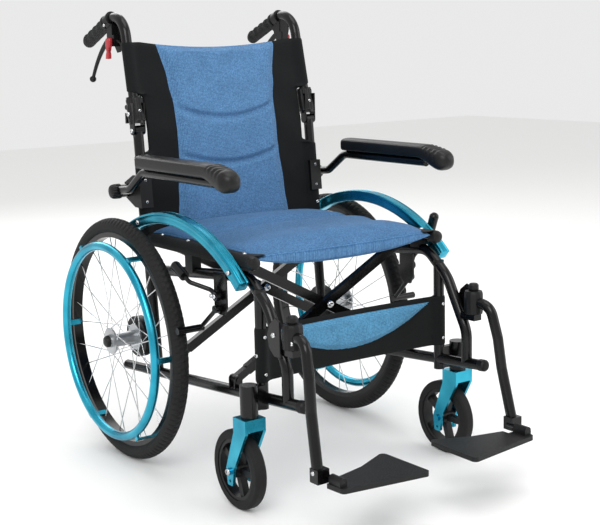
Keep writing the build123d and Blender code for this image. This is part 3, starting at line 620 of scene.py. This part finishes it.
# ---- tyres --------------------------------------------------------------------------------------
tyre_x = -(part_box("right_tyre")[0].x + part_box("right_tyre")[1].x) / 2
tyre_half = (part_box("right_tyre")[1].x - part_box("right_tyre")[0].x) / 2
tyre_ring = (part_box("right_tyre")[1].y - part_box("right_tyre")[0].y) / 2 - tyre_half
tread_blocks = 118


def tyre_point(u, v):
    """A point of the tyre: u round its section from the rim side, v round the wheel."""
    angle = 2 * math.pi * u + math.pi
    outward = math.cos(angle)
    turn = 2 * math.pi * v
    tread = smooth_step((outward - 0.35) / 0.2)
    row = abs(math.sin(angle))
    skew = 0.5 if row > 0.35 else 0.0
    block = math.cos(tread_blocks * turn + skew * 2 * math.pi + 1.6 * math.sin(angle))
    groove = smooth_step((block - 0.45) / 0.35)
    rib = dent(row - 0.35, 0.10)
    bead = dent(outward - 0.02, 0.10) * 0.0006
    reach = tyre_half - 0.0018 * tread * max(groove, rib) + bead
    ring = tyre_ring + reach * outward
    return (-tyre_x + reach * math.sin(angle) * 0.985,
            axle.y + ring * math.cos(turn), axle.z + ring * math.sin(turn))


right_tyre = quilt("right_tyre_tread", 40, 944, tyre_point, [tyre_rubber], lambda u, v: 0)
left_tyre = copy_mirrored(right_tyre, "left_tyre_tread")
for side, piece in (("right", right_tyre), ("left", left_tyre)):
    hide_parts(f"{side}_tyre")
    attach(piece, f"{side}_wheel_body")


# ---- fenders ------------------------------------------------------------------------------------
fender_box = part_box("right_fender")
fender_centre = (axle_y - 0.165, 0.150)
fender_radius = 0.395
fender_deep = 0.024
fender_angles = (64, 133)
fender_mid = -(fender_box[0].x + fender_box[1].x) / 2
fender_half = (fender_box[1].x - fender_box[0].x) / 2 - 0.0006


def fender_point(u, v):
    """A point of the fender: u round its section, v along its arc from the rear end."""
    angle = 2 * math.pi * u
    c, t = math.cos(angle), math.sin(angle)
    power = 0.32
    x = fender_half * math.copysign(abs(c) ** power, c)
    r = fender_deep / 2 * math.copysign(abs(t) ** power, t)
    x *= 1 - 0.16 * dent(r - 0.003, 0.0042)
    if t > 0:
        r -= 0.0016 * dent(abs(x) - 0.0055, 0.0022)
    end = smooth_step(min(v, 1 - v) / 0.006)
    x *= end
    r *= end
    arc = math.radians(fender_angles[0] + (fender_angles[1] - fender_angles[0]) * v)
    reach = fender_radius - fender_deep / 2 + r
    return (-fender_mid + x,
            fender_centre[0] + reach * math.cos(arc), fender_centre[1] + reach * math.sin(arc))


right_fender = quilt("right_fender_shell", 96, 160, fender_point, [teal_anodised], lambda u, v: 0)
left_fender = copy_mirrored(right_fender, "left_fender_shell")
for side, piece in (("right", right_fender), ("left", left_fender)):
    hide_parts(f"{side}_fender")
    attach(piece, f"{side}_frame_body")


# ---- armrest pads -------------------------------------------------------------------------------
pad_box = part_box("right_armrest_pad")
pad_mid = -(pad_box[0].x + pad_box[1].x) / 2
pad_half = (pad_box[1].x - pad_box[0].x) / 2
pad_front, pad_rear = pad_box[0].y, pad_box[1].y
pad_top = pad_box[1].z
pad_skirt = 0.028
nose_drop = 0.024


def pad_point(u, v):
    """A point of the arm pad: u round its section, v from its rear end to its drooping, bulbous front."""
    angle = 2 * math.pi * u
    c, t = math.cos(angle), math.sin(angle)
    length = pad_rear - pad_front
    from_front = length * (1 - v)
    from_rear = length * v
    rear_round = math.sqrt(max(0.0, 1 - max(0.0, 1 - from_rear / 0.012) ** 2.4))
    front_round = math.sqrt(max(0.0, 1 - max(0.0, 1 - from_front / 0.026) ** 2.1))
    droop = smooth_step((0.088 - from_front) / 0.07)
    top = pad_top - 0.010 * smooth_step((0.095 - from_front) / 0.095) ** 1.5
    bottom = pad_top - pad_skirt - nose_drop * droop
    middle = (top + bottom) / 2
    height = (top - bottom) / 2 * rear_round * front_round
    width = pad_half * (0.93 + 0.07 * droop) * rear_round * front_round
    square = 0.42 + 0.28 * droop
    x = width * math.copysign(abs(c) ** square, c)
    z = height * math.copysign(abs(t) ** square, t)
    if t > 0:
        z -= 0.003 * (abs(x) / pad_half) ** 2.5
        ridges = smooth_step((0.075 - from_front) / 0.01) * smooth_step((from_front - 0.020) / 0.01)
        z += 0.0011 * math.cos(from_front / 0.0125 * 2 * math.pi - 6 * abs(x) / pad_half) * ridges
    edge_line = dent(t - 0.72, 0.10)
    x *= 1 - 0.035 * edge_line
    return (-pad_mid + x, pad_front + from_front, middle + z)


right_pad = quilt("right_arm_cushion", 72, 240, pad_point, [foam_skin], lambda u, v: 0)
left_pad = copy_mirrored(right_pad, "left_arm_cushion")
for side, piece in (("right", right_pad), ("left", left_pad)):
    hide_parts(f"{side}_armrest_pad")
    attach(piece, f"{side}_armrest_body")


# ---- push grips ---------------------------------------------------------------------------------
grip_end = Vector((-0.218, axle_y + 0.234, 0.885))
grip_start = Vector((-0.218, axle_y + 0.060, 0.955))
grip_line = (grip_start - grip_end).normalized()
grip_up = Vector((1, 0, 0)).cross(grip_line).normalized()
grip_long = 0.114
grip_radius = 0.016


def grip_point(u, v):
    """A point of the push grip: u round it, v from its rear end towards the bend."""
    angle = 2 * math.pi * u
    length = grip_long * v
    waves = 0.0016 * math.cos((length - 0.016) / 0.0235 * 2 * math.pi) * (0.5 - 0.5 * math.sin(angle))
    ribbed = smooth_step((length - 0.006) / 0.003) * smooth_step((0.104 - length) / 0.003)
    ribs = 0.0005 * math.cos(angle * 30) * ribbed
    collar = 0.0022 * smooth_step((length - 0.106) / 0.002)
    radius = grip_radius - 0.0022 + waves + ribs + collar
    radius *= math.sqrt(max(0.0, 1 - max(0.0, 1 - length / 0.009) ** 2.5))
    if v > 0.995:
        radius = tube_radius
    middle = grip_end + grip_line * (length - 0.002)
    return middle + Vector((1, 0, 0)) * (radius * math.cos(angle)) + grip_up * (radius * math.sin(angle))


right_grip = quilt("right_grip_sleeve", 120, 110, grip_point, [grip_rubber], lambda u, v: 0)
left_grip = copy_mirrored(right_grip, "left_grip_sleeve")
for side, piece in (("right", right_grip), ("left", left_grip)):
    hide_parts(f"{side}_push_grip")
    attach(piece, f"{side}_back_body")


# ---- small fittings: plates, turned pieces and screws -------------------------------------------
def plate(name, outline, x_from, x_to, edge, material):
    """A flat plate across X with an outline of (y, z) points and rounded edges."""
    pick_none()
    bpy.ops.mesh.primitive_circle_add(vertices=len(outline), radius=1, fill_type="NGON")
    piece = named(name, material)
    for vertex, (y, z) in zip(piece.data.vertices, outline):
        vertex.co = (x_from, y, z)
    bpy.ops.object.mode_set(mode="EDIT")
    bpy.ops.mesh.select_all(action="SELECT")
    bpy.ops.mesh.extrude_region_move(TRANSFORM_OT_translate={"value": (x_to - x_from, 0, 0)})
    bpy.ops.object.mode_set(mode="OBJECT")
    settle(piece)
    finish_with(piece, "BEVEL", width=edge, segments=3, limit_method="ANGLE")
    return settle(piece)


def turned(name, profile, place, direction, material, flutes=0, flute_deep=0.0):
    """A lathe-turned piece: profile is (radius, height) points from its foot along direction."""
    pick_none()
    steps = 96 if flutes else 32
    bpy.ops.mesh.primitive_grid_add(x_subdivisions=steps, y_subdivisions=len(profile) - 1, size=1)
    piece = named(name, material)
    turn = Vector((0, 0, 1)).rotation_difference(Vector(direction).normalized())
    for vertex in piece.data.vertices:
        radius, height = profile[round((vertex.co.y + 0.5) * (len(profile) - 1))]
        angle = 2 * math.pi * (vertex.co.x + 0.5)
        radius *= 1 - flute_deep * (0.5 - 0.5 * math.cos(flutes * angle)) if flutes else 1
        point = Vector((radius * math.cos(angle), radius * math.sin(angle), height))
        vertex.co = turn @ point + Vector(place)
    return settle(piece, 35)


def joined(name, pieces):
    """Several meshes made one."""
    work_on(pieces[0])
    for piece in pieces:
        piece.select_set(True)
    bpy.ops.object.join()
    return named_as(name)


def named_as(name):
    piece = bpy.context.object
    piece.name = name
    piece.data.name = name
    return piece


def button_screw(name, place, direction, radius=0.0042):
    """A domed socket screw head."""
    r = radius
    socket = [(r * 0.42, r * 0.12), (r * 0.42, r * 0.56), (r * 0.5, r * 0.62)]
    dome = [(r * 0.78, r * 0.5), (r * 0.95, r * 0.28), (r, 0.0), (0.0, -0.0002)]
    return turned(name, [(0.0, r * 0.12)] + socket + dome, place, direction, chrome_plate)


def screws(name, spots, body, mirrored=True):
    """Screw heads on one body of the right side, and on the same body of the left side."""
    heads = [button_screw("head", place, direction, radius) for place, direction, radius in spots]
    right = joined(f"right_{name}", heads)
    left = copy_mirrored(right, f"left_{name}")
    for side, piece in (("right", right), ("left", left)):
        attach(piece, f"{side}_{body}")


def both_sides(piece, name, body, slot, *old):
    """Puts a right-hand piece and its mirror image on their bodies, in place of the CAD nodes named."""
    piece.name = f"right_{name}"
    twin = copy_mirrored(piece, f"left_{name}")
    for side, made in (("right", piece), ("left", twin)):
        if old:
            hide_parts(*[f"{side}_{kind}" for kind in old])
        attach(made, f"{side}_{body}")


outward, ahead, upward = (-1, 0, 0), (0, -1, 0), (0, 0, 1)
front_row, rear_row = axle_y - 0.338, axle_y - 0.110
collar_z = 0.735


def on_fender(angle):
    """A place in the middle of the fender's outer face, at an angle in degrees from the rear."""
    reach = fender_radius - fender_deep / 2
    turn = math.radians(angle)
    return (-0.2622, fender_centre[0] + reach * math.cos(turn), fender_centre[1] + reach * math.sin(turn))


screws("frame_screws", [
    ((-post_x, back_tube_y(0.596) - 0.0128, 0.596), ahead, 0.0040),
    ((-post_x, back_tube_y(0.550) - 0.0128, 0.550), ahead, 0.0040),
    ((-post_x, back_tube_y(0.510) - 0.0128, 0.510), ahead, 0.0040),
    ((-post_x - 0.0120, back_tube_y(0.640), 0.640), outward, 0.0036),
    (on_fender(127), outward, 0.0048),
    (on_fender(72), outward, 0.0048),
    ((-0.2525, axle_y - 0.315, 0.398), outward, 0.0046),
    ((-post_x, strap_y - 0.0128, 0.336), ahead, 0.0034),
    ((-post_x, strap_y - 0.0128, 0.264), ahead, 0.0034),
    ((-0.2330, axle_y - 0.440, 0.300), outward, 0.0046),
], "frame_body")
screws("cane_screws", [
    ((-0.2388, back_tube_y(collar_z), collar_z), outward, 0.0050),
    ((-0.2202, back_tube_y(0.742) - 0.0168, 0.742), ahead, 0.0036),
    ((-0.2362, post_y_hinge, hinge_z), outward, 0.0050),
    ((-0.2340, 0.352, 0.921), outward, 0.0034),
], "back_body")
screws("fork_screws", [((-0.2895, axle_y - 0.414, 0.078), outward, 0.0065)], "caster_fork_body")
screws("hanger_screws", [
    ((-0.2335, axle_y - 0.556, 0.345), outward, 0.0046),
    ((-0.2510, axle_y - 0.637, 0.128), outward, 0.0044),
], "footrest_body")
screws("lever_screws", [((-0.2520, axle_y - 0.325, 0.398), outward, 0.0052)], "wheel_lock_lever_body")

centre_bolts = joined("brace_centre_bolts", [
    button_screw("head", (0, row - 0.0230, 0.353), ahead, 0.0075) for row in (front_row, rear_row)])
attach(centre_bolts, "brace_right_body")


# ---- seat binding: nylon bands sewn round the rails ---------------------------------------------
def band_point(u, v):
    """A point of the right-hand rail band: u goes across it, v from its front to its rear end."""
    y = seat_front - 0.006 + (seat_rear - seat_front + 0.006) * v
    shell = tube_radius + 0.0022
    inner_width = 0.030
    share = (u if u < 0.5 else 1 - u) * 2
    lift = 0.0 if u < 0.5 else -0.0018
    end = smooth_step(min(v, 1 - v) / 0.01)
    if share < 0.35:
        x = -rail_x + inner_width * (1 - share / 0.35)
        z = rail_z + shell + lift
    else:
        angle = math.radians(90 + 190 * (share - 0.35) / 0.65)
        x = -rail_x + (shell + lift) * math.cos(angle)
        z = rail_z + (shell + lift) * math.sin(angle)
    return (x, y + 0.004 * (1 - end) * (1 if v < 0.5 else -1), z)


right_band = quilt("right_seat_band", 60, 60, band_point, [seat_nylon], lambda u, v: 0)
left_band = copy_mirrored(right_band, "left_seat_band")
screw_rows = [seat_front + 0.035 + 0.105 * number for number in range(4)]
for side, piece, body in (("right", right_band, "brace_left_body"), ("left", left_band, "brace_right_body")):
    sign = SIDES[side]
    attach(piece, body)
    heads = [button_screw("head", (sign * (rail_x - 0.006), y, rail_z + tube_radius + 0.0022), upward, 0.0040)
             for y in screw_rows]
    row = joined(f"{side}_seat_screws", heads)
    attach(row, body)
    plugs = []
    for end_y, way in ((seat_front - 0.004, -1), (seat_rear - 0.012, 1)):
        profile = [(0.0, 0.0095), (0.007, 0.0088), (0.0115, 0.006), (0.0132, 0.001), (0.0132, -0.010),
                   (0.0, -0.0102)]
        plugs.append(turned("plug", profile, (sign * rail_x, end_y, rail_z), (0, way, 0), moulded_nylon))
    caps = joined(f"{side}_rail_caps", plugs)
    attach(caps, body)


# ---- footrest heads -----------------------------------------------------------------------------
pin_y = axle_y - 0.544
head_profile = [(0.0, 0.062), (0.0075, 0.0615), (0.0105, 0.058), (0.0108, 0.050), (0.0095, 0.0475),
                (0.0170, 0.046), (0.0190, 0.041), (0.0194, 0.030), (0.0190, 0.004), (0.0182, 0.0),
                (0.0, -0.0002)]
both_sides(turned("head", head_profile, (-post_x, pin_y, 0.3315), upward, moulded_nylon, 12, 0.03),
           "footrest_head", "footrest_body", "black_plastic")
receiver = [(pin_y + 0.020, 0.380), (pin_y + 0.034, 0.386), (pin_y + 0.052, 0.372), (pin_y + 0.062, 0.350),
            (pin_y + 0.056, 0.326), (pin_y + 0.040, 0.312), (pin_y + 0.020, 0.312)]
both_sides(plate("receiver", receiver, -0.2335, -0.2375, 0.0012, powder_coat), "footrest_receiver",
           "frame_body", "black_frame")
screws("receiver_screws", [((-0.2375, pin_y + 0.040, 0.352), outward, 0.0056)], "frame_body")


# ---- brake lever, its hood and the red parking tab ----------------------------------------------
lever_x = (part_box("right_brake_lever")[0].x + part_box("right_brake_lever")[1].x) / 2
lever_top = Vector((lever_x, 0.3520, 0.8960))
lever_bend = Vector((lever_x, 0.4080, 0.8720))
lever_tip = Vector((lever_x, 0.4480, 0.8100))


def lever_point(u, v):
    """A point of the brake lever: u round it, v from its pivot to the ball at its tip."""
    angle = 2 * math.pi * u
    share = min(v / 0.86, 1.0)
    middle = lever_top * (1 - share) ** 2 + lever_bend * 2 * share * (1 - share) + lever_tip * share ** 2
    along = ((lever_bend - lever_top) * (1 - share) + (lever_tip - lever_bend) * share).normalized()
    across = Vector((1, 0, 0)).cross(along).normalized()
    radius_x, radius_y = 0.0048 - 0.0010 * share, 0.0072 - 0.0036 * share
    if v > 0.86:
        ball = math.radians(-50 + 140 * (v - 0.86) / 0.14)
        radius_x = radius_y = 0.0074 * math.cos(ball)
        middle = middle + along * (0.0056 + 0.0074 * math.sin(ball))
    if v < 0.004:
        radius_x = radius_y = 0.0
    return middle + Vector((1, 0, 0)) * (radius_x * math.cos(angle)) + across * (radius_y * math.sin(angle))


both_sides(quilt("lever", 24, 70, lever_point, [moulded_nylon], lambda u, v: 0), "brake_lever_grip",
           "brake_lever_body", "black_frame", "brake_lever")
tab_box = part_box("right_brake_lock_tab")
tab_x, tab_y = tab_box[0].x - 0.0012, (tab_box[0].y + tab_box[1].y) / 2


def tab_point(u, v):
    """A point of the parking tab: a wide cam at the top and a flared finger grip below it."""
    angle = 2 * math.pi * u
    c, t = math.cos(angle), math.sin(angle)
    shape = [(0.0, 0.0), (0.03, 0.0085), (0.14, 0.0105), (0.36, 0.0100), (0.50, 0.0058), (0.64, 0.0042),
             (0.86, 0.0062), (0.97, 0.0066), (1.0, 0.0)]
    for (v0, w0), (v1, w1) in zip(shape, shape[1:]):
        if v <= v1:
            width = w0 + (w1 - w0) * smooth_step((v - v0) / (v1 - v0))
            break
    z = tab_box[1].z + 0.003 - (tab_box[1].z - tab_box[0].z + 0.008) * v
    return (tab_x + min(0.0050, width) * math.copysign(abs(c) ** 0.5, c), tab_y + 0.006 * v +
            width * math.copysign(abs(t) ** 0.6, t), z)


both_sides(quilt("tab", 32, 48, tab_point, [red_acetal], lambda u, v: 0), "parking_tab", "lock_tab_body",
           "red_plastic", "brake_lock_tab")
hood = [(0.376, 0.9120), (0.352, 0.9230), (0.318, 0.9370), (0.303, 0.9290), (0.298, 0.9050), (0.306, 0.8800),
        (0.322, 0.8640), (0.338, 0.8620), (0.349, 0.8760), (0.356, 0.8980)]
both_sides(plate("hood", hood, -0.2110, -0.2130, 0.0009, moulded_nylon), "brake_hood", "back_body",
           "black_plastic")


# ---- wheel hubs and knobs -----------------------------------------------------------------------
hub_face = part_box("right_hub")[0].x
hub_cap = [(0.0, 0.0085), (0.006, 0.0083), (0.0105, 0.0068), (0.0125, 0.003), (0.0130, -0.004),
           (0.0, -0.0042)]
both_sides(turned("cap", hub_cap, (hub_face - 0.001, axle_y, axle.z), outward, moulded_nylon), "hub_cap",
           "wheel_body", "black_plastic")
knob = [(0.0, 0.013), (0.009, 0.0125), (0.0135, 0.0105), (0.0155, 0.006), (0.0160, 0.0), (0.0160, -0.010),
        (0.0, -0.0102)]
arm_pivot = Vector((-0.2660, axle_y + 0.040, 0.572))
both_sides(turned("knob", knob, arm_pivot, outward, moulded_nylon, 16, 0.09), "armrest_knob", "frame_body",
           "black_plastic")
end_plug = [(0.0, 0.0045), (0.0085, 0.004), (0.0118, 0.001), (0.0122, -0.004), (0.0122, -0.012),
            (0.0, -0.0122)]
front_end = Vector((-post_x, axle_y - 0.576, 0.229))
both_sides(turned("plug", end_plug, front_end, (0, -0.9964, 0.0844), moulded_nylon), "front_tube_plug",
           "frame_body", "black_plastic")
collar = [(0.0116, 0.050), (0.0180, 0.048), (0.0186, 0.044), (0.0176, 0.036), (0.0186, 0.030),
          (0.0186, 0.008), (0.0176, 0.004), (0.0182, 0.0), (0.0116, -0.001)]
both_sides(turned("collar", collar, (-0.2208, back_tube_y(0.719), 0.719), (0.0157, 0.1961, 0.9805),
                  moulded_nylon, 14, 0.05), "hinge_collar", "back_body", "black_plastic")
